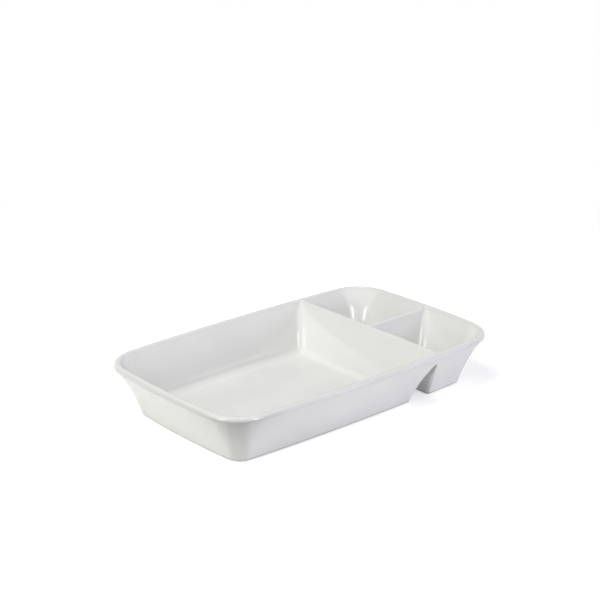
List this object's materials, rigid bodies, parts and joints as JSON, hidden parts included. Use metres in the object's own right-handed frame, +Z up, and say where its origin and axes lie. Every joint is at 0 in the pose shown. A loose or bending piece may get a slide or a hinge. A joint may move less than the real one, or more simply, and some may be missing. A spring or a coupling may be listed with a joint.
{
  "type": "divided serving bowl",
  "caption": "Shallow rectangular serving bowl with rounded corners, divided into one big and two small wells by hollow ridged dividers.",
  "frame": {"origin": "middle of the footprint, on the table plane", "axes": "+X along the dish towards the small wells, +Y across it towards the left small well, +Z up"},
  "size_m": [0.33, 0.201, 0.051],
  "materials": {
    "glaze": "gloss",
    "bare_clay": "matte"
  },
  "bodies": {
    "root": {"rim": "glaze", "main_well": "glaze", "left_small_well": "glaze", "right_small_well": "glaze", "cross_divider": "glaze", "short_divider": "glaze", "main_foot_ring": "bare_clay", "left_foot_ring": "bare_clay", "right_foot_ring": "bare_clay"}
  },
  "joints": []
}
